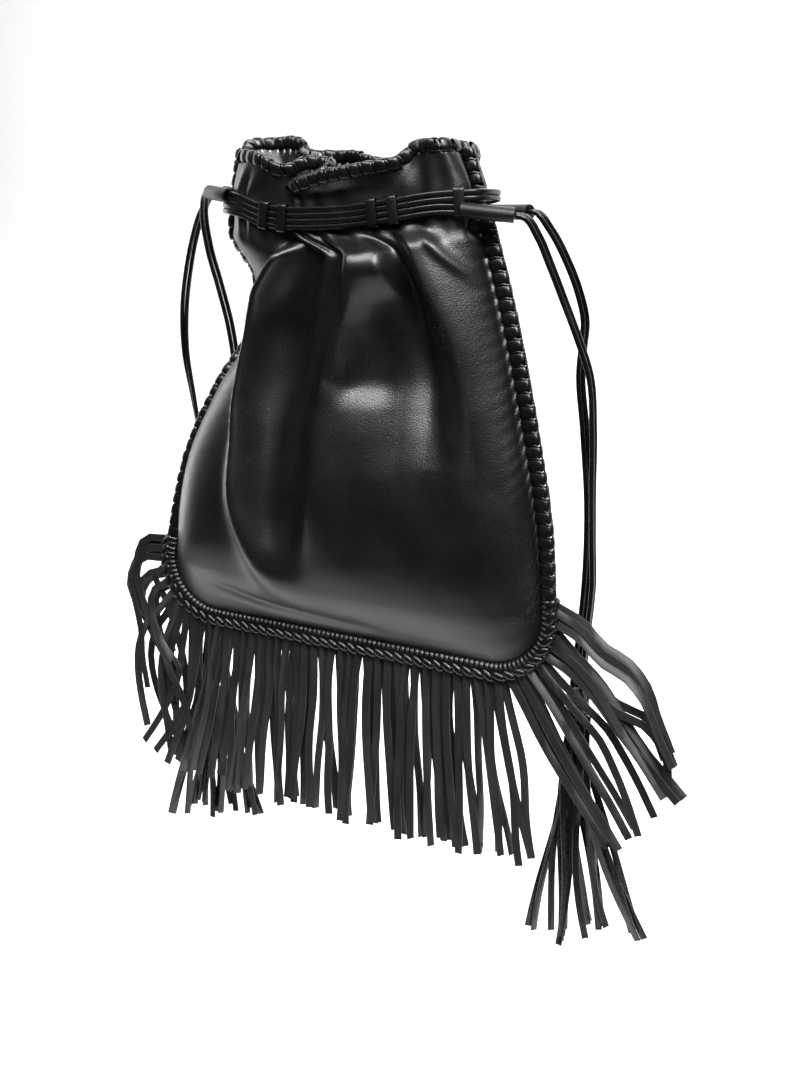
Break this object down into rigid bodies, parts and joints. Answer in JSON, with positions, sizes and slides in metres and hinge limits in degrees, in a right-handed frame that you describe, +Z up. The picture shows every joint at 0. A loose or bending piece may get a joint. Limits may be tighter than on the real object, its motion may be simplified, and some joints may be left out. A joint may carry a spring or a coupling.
{
  "type": "fringed drawstring shoulder bag",
  "caption": "Soft black leather drawstring bag with laced seams, a ruffled open mouth, a knotted fringe and two tasselled ties.",
  "frame": {"origin": "middle of the drawn neck, where the bag is held up by its neck", "axes": "+Z up to the open mouth, the front panel faces -Y, +X towards the right seam seen from the front"},
  "size_m": [0.5923, 0.1254, 0.6513],
  "materials": {
    "panel_leather": "smooth black nappa, soft satin sheen, fine grain",
    "lace_leather": "black flat lace, satin",
    "fringe_leather": "black cut strips, smooth face and matt suede back",
    "thong_leather": "black rounded thong, satin"
  },
  "bodies": {
    "root": {"back_panel": "panel_leather", "fringe_bottom": "fringe_leather", "fringe_left": "fringe_leather", "fringe_right": "fringe_leather", "front_panel": "panel_leather", "keeper_back_1": "lace_leather", "keeper_back_2": "lace_leather", "keeper_back_3": "lace_leather", "keeper_back_4": "lace_leather", "keeper_back_5": "lace_leather", "keeper_front_1": "lace_leather", "keeper_front_2": "lace_leather", "keeper_front_3": "lace_leather", "keeper_front_4": "lace_leather", "keeper_front_5": "lace_leather", "neck_thongs_lower": "thong_leather", "neck_thongs_upper": "thong_leather", "rim_lacing_back": "lace_leather", "rim_lacing_front": "lace_leather", "side_lacing_left": "lace_leather", "side_lacing_right": "lace_leather", "sleeve_left_back": "panel_leather", "sleeve_left_front": "panel_leather", "sleeve_right_back": "panel_leather", "sleeve_right_front": "panel_leather", "strap_left_back": "thong_leather", "strap_left_front": "thong_leather", "strap_right_back": "thong_leather", "strap_right_front": "thong_leather", "tassel_left": "fringe_leather", "tassel_right": "fringe_leather"}
  },
  "joints": []
}
